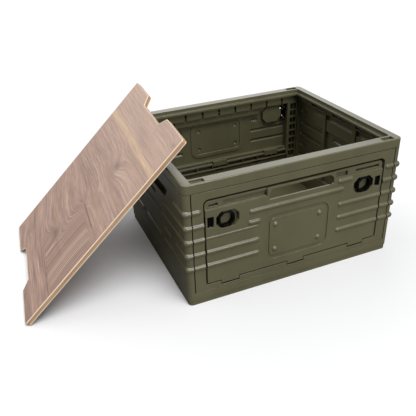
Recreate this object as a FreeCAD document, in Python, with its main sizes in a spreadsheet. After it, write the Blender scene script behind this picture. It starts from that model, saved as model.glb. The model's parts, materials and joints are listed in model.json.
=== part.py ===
import FreeCAD, Part
import math
import os
import re
import Sketcher

# Folding storage box table: a collapsible crate with two side doors and a wooden lid.
# Frame: X along the length, Y from the front to the back, Z up, in millimetres.
# The origin is on the ground under the middle of the box. The lid leans on the left end.

SIZES = [
    # The box as a whole
    ("box_length", 430, "outside length"),
    ("box_depth", 356, "outside depth, front to back"),
    ("box_height", 241, "ground to the top of the rim"),
    ("corner_radius", 9, "upright corners of base, end panels and rim"),
    ("seam_gap", 0.5, "gap between neighbouring mouldings"),
    ("rim_gap", 1.1, "walls and end panels below the rim"),
    ("corner_gap", 1.8, "long wall to the end panels"),
    ("rod_clearance", 0.05, "radial running clearance of rods and pins"),
    # Base tray
    ("front_lip_height", 25, "base lip under the front wall"),
    ("end_lip_rise", 1, "base lip under the end panels, above the back lip"),
    ("stack_gap", 1.4, "room between the two folded walls"),
    ("floor_height", 6, "ground to the underside of the floor"),
    ("floor_thickness", 3, "floor plate"),
    ("foot_height", 10, "stepped foot round the base"),
    ("foot_inset", 1.2, "step of the foot"),
    ("shell_thickness", 3, "walls of the hollow base lips"),
    ("floor_rib_spacing", 100, "pitch of the ribs under the floor"),
    ("locator_length", 40, "tongue that locates an end panel"),
    ("locator_thickness", 4, "tongue thickness"),
    ("locator_height", 8, "tongue height"),
    ("locator_offset", 80, "tongue centre from the middle"),
    ("locator_gap", 0.6, "room round a tongue"),
    # Long walls
    ("wall_thickness", 18, "long wall frames"),
    ("head_clearance", 0.8, "wall head to the rim above it"),
    ("door_stop_width", 6, "lip that stops a door"),
    ("head_slot_pitch", 39.7, "slots inside the wall head"),
    ("head_slot_width", 4.5, "slot width"),
    ("head_slot_height", 14.5, "slot height"),
    ("head_slot_depth", 9, "slot depth"),
    ("jamb_width", 20, "wall beside the door"),
    ("cell_height", 15, "open cells inside a jamb"),
    ("cell_pitch", 17, "cell pitch up the jamb"),
    ("cell_floor", 5, "plastic in front of the cells"),
    ("cell_wall", 1.4, "web between cells"),
    ("sill_flange", 3, "plastic above the cells of the back sill"),
    ("sill_cell_pitch", 39, "open cells inside the back sill"),
    ("sill_cell_height", 10, "cell height"),
    ("sill_cell_depth", 10, "cell depth"),
    ("sill_rib", 2, "rib under these cells"),
    ("sill_recess_height", 19, "recess under this rib"),
    ("sill_recess_depth", 6, "recess depth"),
    ("sill_pocket_pitch", 99, "pockets in this recess"),
    ("sill_pocket_length", 17, "pocket length"),
    ("sill_pocket_height", 7, "pocket height"),
    ("sill_pocket_depth", 12, "pocket depth from the inside"),
    ("sill_pocket_drop", 21, "pocket centre below the back door"),
    # Moulded beads
    ("bead_radius", 6.1, "section of the raised beads"),
    ("bead_rise", 2.6, "beads stand proud by this"),
    ("bead_shell", 2, "plastic over the hollow of a bead"),
    ("faint_bead_rise", 0.7, "shallow bead on the front door"),
    ("bead_drop", 36, "top row of beads below the rim"),
    ("bead_pitch", 27.5, "rows of beads"),
    ("top_bead_setback", 8, "top bead's end from the door"),
    ("bead_inner_left", 81, "left door beads start here"),
    ("bead_inner_right", 89, "right door beads start here"),
    ("long_bead_left", 93, "bead under the hand opening, left end"),
    ("long_bead_right", 90, "bead under the hand opening, right end"),
    ("long_bead_drop", 38.1, "bead under the hand opening, below the door top"),
    ("left_short_inner", 79, "short bead at the left"),
    ("left_short_outer", 95, "short bead at the left"),
    ("left_short_drop", 59.6, "short bead at the left, below the door top"),
    ("right_short_inner", 85, "short bead at the right"),
    ("right_short_outer", 108, "short bead at the right"),
    ("right_short_drop", 21.6, "short bead at the right, below the door top"),
    ("back_bead_drop", 61, "upper long beads of the back door, below its top"),
    ("back_bead_pitch", 25, "rows of beads on the back door"),
    ("back_short_drop", 36, "short beads of the back door, below its top"),
    ("back_short_bead", 11, "length of these short beads"),
    ("end_bead_inner", 68, "long side beads of an end panel"),
    ("end_stub_length", 46, "short side beads of an end panel"),
    ("end_middle_long", 40, "half a long middle bead"),
    ("end_middle_short", 20, "half a short middle bead"),
    ("end_short_inner", 74, "separate short bead"),
    ("end_short_outer", 98, "separate short bead"),
    # Wall hinges
    ("knuckle_radius", 5, "wall hinge knuckles"),
    ("wall_knuckle_length", 30, "knuckle on a wall"),
    ("base_knuckle_length", 20, "knuckle on the base"),
    ("knuckle_spacing", 130, "pitch of the hinge groups"),
    ("knuckle_clearance", 0.4, "relief round the knuckles"),
    ("rod_diameter", 4, "wall and end hinge rods"),
    # Doors
    ("door_gap", 3.2, "gap at a door's sides"),
    ("front_head_gap", 5.4, "gap above the front door"),
    ("back_head_gap", 3, "gap above the back door"),
    ("door_depth", 12, "door thickness at its rim"),
    ("door_corner_radius", 7, "upper corners"),
    ("skin_thickness", 3, "door skin and rim"),
    ("front_sill_height", 15, "front door above the base lip"),
    ("front_head_height", 20.9, "front door below the rim"),
    ("back_sill_height", 51, "back door above the base lip"),
    ("back_head_height", 10, "back door below the rim"),
    ("door_axis_inset", 3.5, "hinge axis behind the outer face"),
    ("door_axis_drop", 5.7, "hinge axis below the door edge"),
    ("sill_gap", 2.6, "door edge to the sill"),
    ("tab_width", 34, "hinge tabs of a door"),
    ("tab_spacing", 134, "pitch of the tabs"),
    ("tab_gap", 1, "room round a tab"),
    ("tab_depth", 17.4, "tabs reach this far behind the outer face"),
    ("door_pin_diameter", 3, "door hinge pins"),
    ("door_pin_grip", 8, "pin held in the sill each side"),
    # Studded plate of a door
    ("plate_width", 130, "grooved plate"),
    ("plate_rise", 14, "plate above the door's lower edge"),
    ("front_plate_height", 94, "plate on the front door"),
    ("back_plate_height", 83, "plate on the back door"),
    ("plate_corner_radius", 18, "plate corners"),
    ("groove_width", 8, "groove round the plate"),
    ("groove_depth", 1.7, "groove depth"),
    ("stud_span", 91, "studs across the plate"),
    ("front_stud_rise", 52, "studs up the front plate"),
    ("back_stud_rise", 43, "studs up the back plate"),
    ("stud_radius", 6.1, "ball radius of a stud"),
    ("stud_height", 3, "studs stand proud by this"),
    # Hand hold of the doors
    ("band_height", 15.1, "set-back band along the door top"),
    ("band_depth", 3, "set-back of the band"),
    ("channel_depth", 4.5, "channel in the band"),
    ("channel_rise", 1, "channel above the band edge"),
    ("channel_height", 9.5, "channel height"),
    ("channel_inset", 33, "front channel's left end from the door's edge"),
    ("channel_right", 102, "front channel's right end"),
    ("slot_inset", 7, "slots of the front band from the door's edge"),
    ("left_slot_length", 17, "slot at the left"),
    ("right_slot_length", 52, "slot at the right"),
    ("slot_rise", 4, "slots above the band edge"),
    ("slot_height", 5, "slot height"),
    ("slot_depth", 7, "slot depth"),
    ("back_band_width", 200, "set-back band of the back door"),
    ("hand_width", 131, "hand opening"),
    ("hand_height", 19.5, "hand opening"),
    ("hand_drop", 23.6, "opening's lower edge below the door top"),
    ("hand_offset", 6, "opening to the right of the middle"),
    ("hand_chamfer", 7, "cut corners of the opening"),
    ("hand_border", 3.5, "frame beside the opening"),
    # Latches
    ("front_knob_drop", 39.6, "front knobs below the door top"),
    ("back_knob_drop", 26.5, "back knobs below the door top"),
    ("knob_inset", 38.5, "knob centre from the door's edge"),
    ("knob_size", 31, "knob across its flats"),
    ("knob_hole", 23.5, "finger hole across its flats"),
    ("knob_proud", 0.8, "knob stands out of the door"),
    ("knob_bevel", 1.2, "bevel round the knob's face"),
    ("latch_in", 7.5, "slide towards the middle"),
    ("latch_out", 3.5, "slide into the jamb"),
    ("latch_gap", 0.5, "room round the latch pieces"),
    ("dish_depth", 8.5, "dish round a knob"),
    ("dish_wall", 2.2, "plastic round the dish"),
    ("bolt_height", 19, "bolt seen in the window"),
    ("bar_height", 14, "bar between knob and bolt"),
    ("neck_height", 8, "end of the bar inside the knob"),
    ("bolt_thickness", 4, "bar and bolt"),
    ("window_width", 12, "window over the bolt"),
    ("window_height", 21, "window height"),
    ("window_inset", 9, "window centre from the door's edge"),
    ("keeper_depth", 6, "pocket in the jamb"),
    ("cover_thickness", 2, "latch cover"),
    ("cover_screw_diameter", 2.5, "cover screws"),
    ("cover_screw_head", 4.6, "screw head diameter"),
    ("cover_screw_length", 5, "thread below the head"),
    ("screw_head_height", 1.6, "screw head height"),
    ("cover_boss_radius", 2.6, "bosses under the cover"),
    # Rim
    ("skirt_height", 17, "outside of the rim"),
    ("skirt_thickness", 3, "skirt over the wall heads"),
    ("flange_thickness", 8, "top of the rim"),
    ("ledge_thickness", 4, "ledge inside the rim"),
    ("ledge_width", 6, "ledge inside the rim"),
    ("long_rail_width", 19, "top of the front and back rails"),
    ("end_rail_width", 15, "top of the end rails"),
    ("rim_edge_radius", 2, "rounded outer top edge"),
    ("rim_inner_radius", 5, "inner corners of the rim"),
    ("pocket_length", 25, "pockets on top of the rim"),
    ("pocket_width", 12, "pocket width"),
    ("pocket_depth", 4, "pocket depth"),
    ("pocket_inset", 15.5, "pocket from the end of the box"),
    # End panels
    ("end_panel_thickness", 12, "end panels"),
    ("end_skin", 3.5, "skin and rims of an end panel"),
    ("rod_lip", 1.6, "plastic under the lugs' notches"),
    ("rod_knuckle", 10, "plastic round the rod beside each lug"),
    ("rod_slot_flange", 2.2, "plastic above the slots that show the rod"),
    ("upright_width", 10, "uprights inside an end panel"),
    ("upright_spacing", 105, "pitch of the uprights"),
    ("upright_setback", 1, "uprights behind the panel's inner plane"),
    ("lug_width", 12, "rim lugs on the hinge rod"),
    ("lug_spacing", 80, "pitch of the lugs"),
    ("lug_gap", 0.6, "room round a lug"),
    ("end_axis_drop", 19, "hinge rod below the rim's top"),
    ("lug_radius", 4.5, "lugs below the hinge rod"),
    ("grip_width", 200, "grip recess, along its top"),
    ("grip_slope", 18, "slope at each end of the grip"),
    ("grip_drop", 25, "grip below the rim"),
    ("grip_height", 21, "grip height"),
    ("grip_depth", 6.5, "grip depth"),
    ("grip_shell", 2, "plastic behind the grip"),
    # Lid, the table top
    ("lid_end_inset", 6, "lid's ends inside the rim's edge"),
    ("lid_side_inset", 9, "lid's sides inside the rim's edge"),
    ("lid_thickness", 9, "lid"),
    ("lid_corner_radius", 4, "lid corners"),
    ("laminate_thickness", 0.8, "veneer on each face"),
    ("edge_band", 1, "band round the edge"),
    ("notch_opening", 142, "hand notch at each end"),
    ("notch_inner", 111, "notch at its inner side"),
    ("notch_depth", 18, "notch depth"),
    ("block_size", 30, "locating blocks under the lid"),
    ("block_height", 6, "locating blocks"),
    ("block_gap", 1.5, "blocks to the rim's inner edge"),
    ("block_screw_diameter", 3.5, "screws through the blocks"),
    ("block_screw_head", 7, "screw head diameter"),
    ("block_screw_length", 10, "screw from the block's face"),
    ("lean_angle", 44.2, "slope of the leaning lid"),
    ("lean_turn", -4.3, "lid turned about the upright"),
    ("lean_gap", 0.3, "lid to the rim that it leans on"),
    ("lean_side", 62, "middle of the lid's foot, towards the back"),
]

SIDES = ("front", "back")
HANDS = {"left": -1, "right": 1}

doc = FreeCAD.newDocument("folding_box_table")
sheet = doc.addObject("Spreadsheet::Sheet", "sizes")
for row, (alias, value, note) in enumerate(SIZES, start=1):
    sheet.set("A%d" % row, alias)
    sheet.set("B%d" % row, str(value))
    sheet.setAlias("B%d" % row, alias)
    sheet.set("C%d" % row, note)
doc.recompute()

NAMES = {alias for alias, value, note in SIZES}


def bound(text):
    """An expression on the sheet: every size's name becomes its cell."""
    return re.sub(r"[a-z][a-z_]*", lambda m: "sizes." + m[0] if m[0] in NAMES else m[0], str(text))


def number(text):
    """The value of an expression, in millimetres or degrees."""
    return float(sheet.evalExpression(bound(text)))


def bind(item, **sizes):
    for prop, text in sizes.items():
        item.setExpression(prop, bound(text))


def put(item, x, y, z):
    for axis, text in zip("xyz", (x, y, z)):
        item.setExpression("Placement.Base." + axis, bound(text))
    return item


def block(name, x, y, z):
    """A block between two limits on each axis."""
    item = doc.addObject("Part::Box", name)
    bind(item, Length="(%s) - (%s)" % (x[1], x[0]), Width="(%s) - (%s)" % (y[1], y[0]),
         Height="(%s) - (%s)" % (z[1], z[0]))
    return put(item, x[0], y[0], z[0])


def middle(centre, size):
    """Limits that lie evenly about a centre."""
    return "%s - (%s) / 2" % (centre, size), "%s + (%s) / 2" % (centre, size)


def mirrored_span(reach):
    """Limits at the same distance on both sides of the middle."""
    return "-(%s)" % reach, reach


TURN = {
    "x": FreeCAD.Rotation(FreeCAD.Vector(0, 1, 0), 90),
    "y": FreeCAD.Rotation(FreeCAD.Vector(1, 0, 0), -90),
    "z": FreeCAD.Rotation(),
}


def rod(name, axis, start, end, across, radius):
    """A round rod along an axis from start to end; across gives the other two coordinates."""
    item = doc.addObject("Part::Cylinder", name)
    bind(item, Radius=radius, Height="(%s) - (%s)" % (end, start))
    item.Placement = FreeCAD.Placement(FreeCAD.Vector(), TURN[axis])
    place = list(across)
    place.insert("xyz".index(axis), start)
    return put(item, *place)


def ball(name, x, y, z, radius):
    item = doc.addObject("Part::Sphere", name)
    bind(item, Radius=radius)
    return put(item, x, y, z)


def fuse(name, items):
    item = doc.addObject("Part::MultiFuse", name)
    item.Shapes = items
    return item


def cut(name, base, tools):
    """Base less its tools, which are joined first."""
    item = doc.addObject("Part::Cut", name)
    item.Base = base
    item.Tool = tools[0] if len(tools) == 1 else fuse(name + "_tools", tools)
    return item


def rounded(name, base, radius, chosen):
    """Round the edges that the test picks, by a size of the sheet."""
    doc.recompute()
    item = doc.addObject("Part::Fillet", name)
    item.Base = base
    size = number(radius)
    picked = [i for i, edge in enumerate(base.Shape.Edges, start=1) if chosen(edge)]
    item.Edges = [(i, size, size) for i in picked]
    return item


def runs_along(edge, axis):
    """True for an edge parallel to X, Y or Z."""
    ends = [v.Point for v in edge.Vertexes]
    if len(ends) != 2:
        return False
    step = ends[1] - ends[0]
    rest = [abs(v) for i, v in enumerate(step) if i != "xyz".index(axis)]
    return max(rest) < 1e-6


def upright_corners(name, base, radius):
    return rounded(name, base, radius, lambda edge: runs_along(edge, "z"))


def octagon(name, x, y, z, across, depth):
    """An eight-sided block with flats up and down, from y to y + depth."""
    item = doc.addObject("Part::Prism", name)
    item.Polygon = 8
    bind(item, Circumradius="(%s) / 2 / cos(22.5 deg)" % across, Height=depth)
    turn = FreeCAD.Rotation(FreeCAD.Vector(1, 0, 0), -90) * FreeCAD.Rotation(FreeCAD.Vector(0, 0, 1), 22.5)
    item.Placement = FreeCAD.Placement(FreeCAD.Vector(), turn)
    return put(item, x, y, z)


def sketched(name, role, corners, length):
    """A body padded from a sketched polygon whose corners are tied to the sheet."""
    body = doc.addObject("PartDesign::Body", name)
    plane = next(f for f in body.Origin.OriginFeatures if f.Role == role)
    sketch = body.newObject("Sketcher::SketchObject", name + "_sketch")
    sketch.AttachmentSupport = [(plane, "")]
    sketch.MapMode = "FlatFace"
    points = [FreeCAD.Vector(number(u), number(v), 0) for u, v in corners]
    for start, end in zip(points, points[1:] + points[:1]):
        sketch.addGeometry(Part.LineSegment(start, end), False)
    for i, (u, v) in enumerate(corners):
        sketch.addConstraint(Sketcher.Constraint("Coincident", i, 2, (i + 1) % len(corners), 1))
        for kind, text in (("DistanceX", u), ("DistanceY", v)):
            index = sketch.addConstraint(Sketcher.Constraint(kind, -1, 1, i, 1, number(text)))
            sketch.setExpression("Constraints[%d]" % index, bound(text))
    pad = body.newObject("PartDesign::Pad", name + "_pad")
    pad.Profile = sketch
    bind(pad, Length=length)
    return body


# Levels and planes that several pieces share
FRONT = "-box_depth / 2"
WALL_INSIDE = "-box_depth / 2 + wall_thickness"
END_INSIDE = "box_length / 2 - end_panel_thickness"
RIM_BOTTOM = "box_height - skirt_height"
LEDGE_BOTTOM = "box_height - flange_thickness - ledge_thickness"
HEAD_TOP = LEDGE_BOTTOM + " - head_clearance"
FLOOR_TOP = "floor_height + floor_thickness"
DOOR_EDGE = END_INSIDE + " - corner_gap - jamb_width - door_gap"
KNOB_X = DOOR_EDGE + " - knob_inset"
WINDOW_X = DOOR_EDGE + " - window_inset"
HINGE_PLANE = {"front": WALL_INSIDE, "back": "-(%s)" % WALL_INSIDE}
LIP = {
    "front": "front_lip_height",
    "back": "front_lip_height + wall_thickness + bead_rise + stack_gap",
}
END_LIP = LIP["back"] + " + end_lip_rise"
BEAD_DEPTH = "bead_radius - bead_rise"
PAST = "1"


def behind(depth):
    """A plane at this depth behind the front's outer face."""
    return "%s + (%s)" % (FRONT, depth)


def bead_row(i):
    return "%s - bead_drop - %d * bead_pitch" % (RIM_BOTTOM, i)


def depths(limits):
    """Two planes behind the front's outer face."""
    return behind(limits[0]), behind(limits[1])


BEAD_ROWS = 1 + int(number("(%s - (%s) - 2 * bead_radius) / bead_pitch" % (bead_row(0), END_LIP)))


def bead(name, start, end, level, hollow=False, balls=(), rise="bead_rise"):
    """A bead along X on the front face, or its hollow; balls close its free ends."""
    radius = "bead_radius - bead_shell" if hollow else "bead_radius"
    depth = behind("bead_radius - " + rise)
    items = [rod(name, "x", start, end, (depth, level), radius)]
    for i, at in enumerate(balls):
        items.append(ball("%s_end%d" % (name, i), at, depth, level, radius))
    return items


def turned_back(item, side):
    """The back's pieces are made at the front and turned half round."""
    if side == "back":
        item.Placement = FreeCAD.Placement(FreeCAD.Vector(), FreeCAD.Rotation(FreeCAD.Vector(0, 0, 1), 180))
    return item


nodes = []


def node(item, label):
    """Name a finished piece; its label is its file's name."""
    item.Label = label
    nodes.append(item)
    return item


def group(name, items):
    """Like pieces kept together as separate solids."""
    item = doc.addObject("Part::Compound", name)
    item.Links = items
    return item


def mirrored(limits, s):
    """Limits on the positive side, or the same on the negative side."""
    return limits if s > 0 else ("-(%s)" % limits[1], "-(%s)" % limits[0])


# Wall hinges: the knuckles on the base and on a wall share one rod
GROUPS = (-1, 0, 1)
ROD_REACH = "knuckle_spacing + wall_knuckle_length / 2 + seam_gap + base_knuckle_length"
ROD_BORE = "rod_diameter / 2 + rod_clearance"
KNUCKLE_ROOM = "knuckle_radius + knuckle_clearance"


def hinge_level(side):
    return LIP[side] + " + seam_gap / 2"


def knuckles(name, side, owner, radius, margin, y=WALL_INSIDE):
    """Knuckles of the base or of the wall in the three hinge groups of one side."""
    items = []
    for g in GROUPS:
        centre = "%d * knuckle_spacing" % g
        spans = [middle(centre, "wall_knuckle_length + 2 * (%s)" % margin)]
        if owner == "base":
            reach = "wall_knuckle_length / 2 + seam_gap + base_knuckle_length / 2"
            spans = [middle("%s + %d * (%s)" % (centre, s, reach), "base_knuckle_length + 2 * (%s)" % margin)
                     for s in (-1, 1)]
        for i, (start, end) in enumerate(spans):
            items.append(rod("%s%d%d" % (name, g + 1, i), "x", start, end, (y, hinge_level(side)), radius))
    return items


def hinge_rod(name, side, radius, y=WALL_INSIDE):
    return rod(name, "x", "-(%s)" % ROD_REACH, ROD_REACH, (y, hinge_level(side)), radius)


# Base tray

def base_tray():
    half_length = "box_length / 2"
    half_depth = "box_depth / 2"
    inside = mirrored_span(END_INSIDE)
    inner = mirrored_span("box_depth / 2 - wall_thickness")
    above = END_LIP + " + " + PAST
    below = "-" + PAST
    outer = upright_corners("base_outer", block(
        "base_block", mirrored_span(half_length), mirrored_span(half_depth), ("0", END_LIP)),
        "corner_radius")
    cuts = [
        block("base_cavity", inside, inner, (FLOOR_TOP, above)),
        block("base_front_open", inside, (behind(below), inner[1]), (LIP["front"], above)),
        block("base_back_open", inside, (inner[0], half_depth + " + " + PAST), (LIP["back"], above)),
        block("base_under", mirrored_span(END_INSIDE + " - shell_thickness"),
              mirrored_span("box_depth / 2 - wall_thickness - shell_thickness"), (below, "floor_height")),
    ]
    # The lips are hollow from below
    long_lip = ("box_depth / 2 - wall_thickness + shell_thickness", "box_depth / 2 - shell_thickness")
    end_lip = (END_INSIDE + " + shell_thickness", "box_length / 2 - shell_thickness")
    for side, s in (("front", -1), ("back", 1)):
        roof = LIP[side] + " - knuckle_radius - 2 * shell_thickness"
        cuts.append(block("base_%s_hollow" % side, inside, mirrored(long_lip, s), (below, roof)))
    for hand, s in HANDS.items():
        roof = END_LIP + " - 2 * shell_thickness"
        cuts.append(block("base_%s_hollow" % hand, mirrored(end_lip, s), inner, (below, roof)))
    # The foot is stepped in all round
    band = block("foot_band", mirrored_span("box_length"), mirrored_span("box_depth"), (below, "foot_height"))
    core = upright_corners("foot_core", block(
        "foot_core_block", mirrored_span("box_length / 2 - foot_inset"),
        mirrored_span("box_depth / 2 - foot_inset"), (below + " - " + PAST, "foot_height + " + PAST)),
        "corner_radius - foot_inset")
    cuts.append(cut("foot_step", band, [core]))
    adds = [cut("base_shell", outer, cuts)]
    # Ribs under the floor stand on the ground
    for i in (-1, 0, 1):
        adds.append(block("floor_rib%d" % (i + 1), middle("%d * floor_rib_spacing" % i, "shell_thickness"),
                          inner, ("0", "floor_height + floor_thickness / 2")))
    # Tongues that locate the end panels
    for hand, s in HANDS.items():
        x = mirrored(middle(END_INSIDE + " + end_panel_thickness / 2", "locator_thickness"), s)
        for i in (-1, 1):
            y = middle("%d * locator_offset" % i, "locator_length")
            adds.append(block("locator_%s%d" % (hand, i + 1), x, y,
                              (END_LIP + " - " + PAST, END_LIP + " + locator_height")))
    bores = []
    for side, y in HINGE_PLANE.items():
        adds += knuckles("base_knuckle_" + side, side, "base", "knuckle_radius", "0", y)
        bores += knuckles("base_relief_" + side, side, "wall", KNUCKLE_ROOM, "seam_gap", y)
        bores.append(hinge_rod("base_bore_" + side, side, ROD_BORE, y))
        node(hinge_rod("wall_rod_" + side, side, "rod_diameter / 2", y), side + "_wall_hinge_rod")
    node(cut("base", fuse("base_body", adds), bores), "base_tray")


# Long walls and doors, made at the front

def door_sizes(side):
    """Levels of one door, from its sill and its head."""
    bottom = "%s + %s_sill_height" % (LIP[side], side)
    top = "%s - %s_head_height" % (RIM_BOTTOM, side)
    return {
        "bottom": bottom, "top": top, "head": "%s + %s_head_gap" % (top, side),
        "knob": "%s - %s_knob_drop" % (top, side),
        "plate": (bottom + " + plate_rise", side + "_plate_height"), "studs": side + "_stud_rise",
    }


DOORS = {side: door_sizes(side) for side in SIDES}
TABS = (-1, 0, 1)
PIN_BORE = "door_pin_diameter / 2 + rod_clearance"
PIN_LENGTH = "tab_width + 2 * tab_gap + 2 * door_pin_grip"
BOLT_FACE = "skin_thickness + latch_gap"
BOLT_BACK = "skin_thickness + latch_gap + bolt_thickness"
COVER_FACE = "skin_thickness + 2 * latch_gap + bolt_thickness"
BOLT_ROOM = ("skin_thickness", COVER_FACE)
SCREW_HOLE = "cover_screw_diameter / 2 + rod_clearance"


def door_axis(side):
    return DOORS[side]["bottom"] + " - door_axis_drop"


def pin_rods(name, side, radius, length):
    """Rods on the door's hinge axis, one at each tab."""
    return [rod("%s%d" % (name, i + 1), "x", *middle("%d * tab_spacing" % i, length),
                (behind("door_axis_inset"), door_axis(side)), radius) for i in TABS]


def rounded_top(name, item, radius):
    """Round the two upper corners of an upright panel."""
    def upper(edge):
        return runs_along(edge, "y") and edge.BoundBox.ZMin > item.Shape.BoundBox.Center.z
    return rounded(name, item, radius, upper)


def wall(side):
    door = DOORS[side]
    tag = side + "_wall"
    half = END_INSIDE + " - corner_gap"
    foot = LIP[side] + " + seam_gap"
    jamb = DOOR_EDGE + " + door_gap"
    sill = door["bottom"] + " - sill_gap"
    head = door["head"]
    through = (behind("-" + PAST), behind("wall_thickness + " + PAST))
    adds = [
        block(tag + "_block", mirrored_span(half), (FRONT, WALL_INSIDE),
              (foot, RIM_BOTTOM + " - rim_gap")),
        block(tag + "_head", mirrored_span(half), (behind("skirt_thickness + seam_gap"), WALL_INSIDE),
              (head, HEAD_TOP)),
    ]
    for i in range(BEAD_ROWS):
        inner = jamb if i else jamb + " + top_bead_setback"
        for hand, s in HANDS.items():
            start, end = mirrored((inner, half), s)
            free = [] if i else [inner if s > 0 else "-(%s)" % inner]
            adds += bead("%s_bead_%s%d" % (tag, hand, i), start, end, bead_row(i), balls=free)
    adds += knuckles(tag + "_knuckle", side, "wall", "knuckle_radius", "0")
    cuts = [
        rounded_top(tag + "_opening", block(tag + "_opening_block", mirrored_span(jamb),
                                            (through[0], behind("door_depth + seam_gap")), (sill, head)),
                    "door_corner_radius + door_gap"),
        block(tag + "_light", mirrored_span(jamb + " - door_stop_width"), through,
              (sill, head + " - door_stop_width")),
    ]
    for i in TABS:
        notch = middle("%d * tab_spacing" % i, "tab_width + 2 * tab_gap")
        cuts.append(block("%s_notch%d" % (tag, i + 1), notch, through,
                          (door_axis(side) + " - door_axis_inset - tab_gap", sill + " + " + PAST)))
    cuts += pin_rods(tag + "_pin_bore", side, PIN_BORE, PIN_LENGTH)
    # Pockets that take the bolts
    for hand, s in HANDS.items():
        keeper = mirrored((jamb + " - " + PAST, jamb + " + keeper_depth"), s)
        cuts.append(block("%s_keeper_%s" % (tag, hand), keeper, depths(BOLT_ROOM),
                          middle(door["knob"], "bolt_height + 2 * latch_gap")))
    cuts += wall_relief(tag, side, jamb)
    cuts += knuckles(tag + "_relief", side, "base", KNUCKLE_ROOM, "seam_gap")
    cuts.append(hinge_rod(tag + "_bore", side, ROD_BORE))
    node(turned_back(cut(tag, fuse(tag + "_body", adds), cuts), side), side + "_wall_frame")
    pins = pin_rods(tag + "_pin", side, "door_pin_diameter / 2", PIN_LENGTH)
    node(turned_back(group(tag + "_pins", pins), side), side + "_door_hinge_pins")


def wall_relief(tag, side, jamb):
    """Slots in the head, cells in the jambs and relief in a tall sill, all open to the inside."""
    def inward(depth):
        return "%s - (%s)" % (WALL_INSIDE, depth), "%s + %s" % (WALL_INSIDE, PAST)

    def copies(pitch, length):
        """How many steps of a pitch fit on each side of the middle, within the door's width."""
        count = int(number("(%s - %s) / %s" % (DOOR_EDGE, length, pitch)))
        return range(-count, count + 1)

    items = []
    slot_top = HEAD_TOP + " - shell_thickness"
    for i in copies("head_slot_pitch", "head_slot_height"):
        items.append(block("%s_slot%d" % (tag, i), middle("%d * head_slot_pitch" % i, "head_slot_width"),
                           inward("head_slot_depth"), (slot_top + " - head_slot_height", slot_top)))
    lowest = "%s + 2 * knuckle_radius" % LIP[side]
    rows = int(number("(%s - 2 * seam_gap - (%s)) / cell_pitch" % (RIM_BOTTOM, lowest)))
    width = "(jamb_width - 4 * cell_wall) / 2"
    for k in range(2):
        start = "%s + cell_wall + %d * (%s + cell_wall)" % (jamb, k, width)
        for i in range(rows):
            foot = "%s + %d * cell_pitch" % (lowest, i)
            for hand, s in HANDS.items():
                cell = mirrored((start, "%s + %s" % (start, width)), s)
                items.append(block("%s_cell_%s%d_%d" % (tag, hand, k, i), cell,
                                   inward("wall_thickness - cell_floor"), (foot, foot + " + cell_height")))
    if side == "back":
        top = DOORS[side]["bottom"] + " - sill_gap - sill_flange"
        foot = top + " - sill_cell_height"
        for i in copies("sill_cell_pitch", "sill_cell_pitch / 2"):
            cell = middle("%d * sill_cell_pitch" % i, "sill_cell_pitch - cell_wall")
            items.append(block("%s_sill_cell%d" % (tag, i), cell, inward("sill_cell_depth"), (foot, top)))
        under = foot + " - sill_rib"
        items.append(block(tag + "_sill_recess", mirrored_span(DOOR_EDGE), inward("sill_recess_depth"),
                           (under + " - sill_recess_height", under)))
        level = middle(DOORS[side]["bottom"] + " - sill_pocket_drop", "sill_pocket_height")
        for i in copies("sill_pocket_pitch", "sill_pocket_length"):
            pocket = middle("%d * sill_pocket_pitch" % i, "sill_pocket_length")
            items.append(block("%s_pocket%d" % (tag, i), pocket, inward("sill_pocket_depth"), level))
    return items


def long_octagon(name, x, y, z, across, depth):
    """An octagon drawn out along X between two centres."""
    ends = [octagon("%s_%d" % (name, i), at, y, z, across, depth) for i, at in enumerate(x)]
    core = block(name + "_core", x, (y, "%s + (%s)" % (y, depth)), middle(z, across))
    return fuse(name, ends + [core])


def plate_ring(name, side, y):
    """The band that runs round the studded plate."""
    bottom, height = DOORS[side]["plate"]
    rings = []
    for part, inset in (("outer", "0"), ("inner", "groove_width")):
        item = block("%s_%s_block" % (name, part), mirrored_span("plate_width / 2 - " + inset),
                     y, ("%s + %s" % (bottom, inset), "%s + %s - %s" % (bottom, height, inset)))
        rings.append(rounded("%s_%s" % (name, part), item, "plate_corner_radius - " + inset,
                             lambda edge: runs_along(edge, "y")))
    return cut(name, rings[0], rings[1:])


def door_beads(side):
    """Beads of a door: the side, the inner end, the outer end or none at the door's edge, level, rise."""
    top = DOORS[side]["top"]
    rows = []
    if side == "back":
        for s in (-1, 1):
            for i in range(2):
                level = "%s - back_bead_drop - %d * back_bead_pitch" % (top, i)
                rows.append((s, "bead_inner_right", None, level, "bead_rise"))
            rows.append((s, "bead_inner_right", "bead_inner_right + back_short_bead",
                         top + " - back_short_drop", "bead_rise"))
        return rows
    rows += [
        (1, "-long_bead_left", "long_bead_right", top + " - long_bead_drop", "bead_rise"),
        (-1, "left_short_inner", "left_short_outer", top + " - left_short_drop", "bead_rise"),
        (1, "right_short_inner", "right_short_outer", top + " - right_short_drop", "bead_rise"),
    ]
    for i in range(2, BEAD_ROWS):
        rows.append((1, "bead_inner_right", None, bead_row(i), "bead_rise"))
        rows.append((-1, "bead_inner_left", None, bead_row(i), "bead_rise" if i > 2 else "faint_bead_rise"))
    return rows


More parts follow.
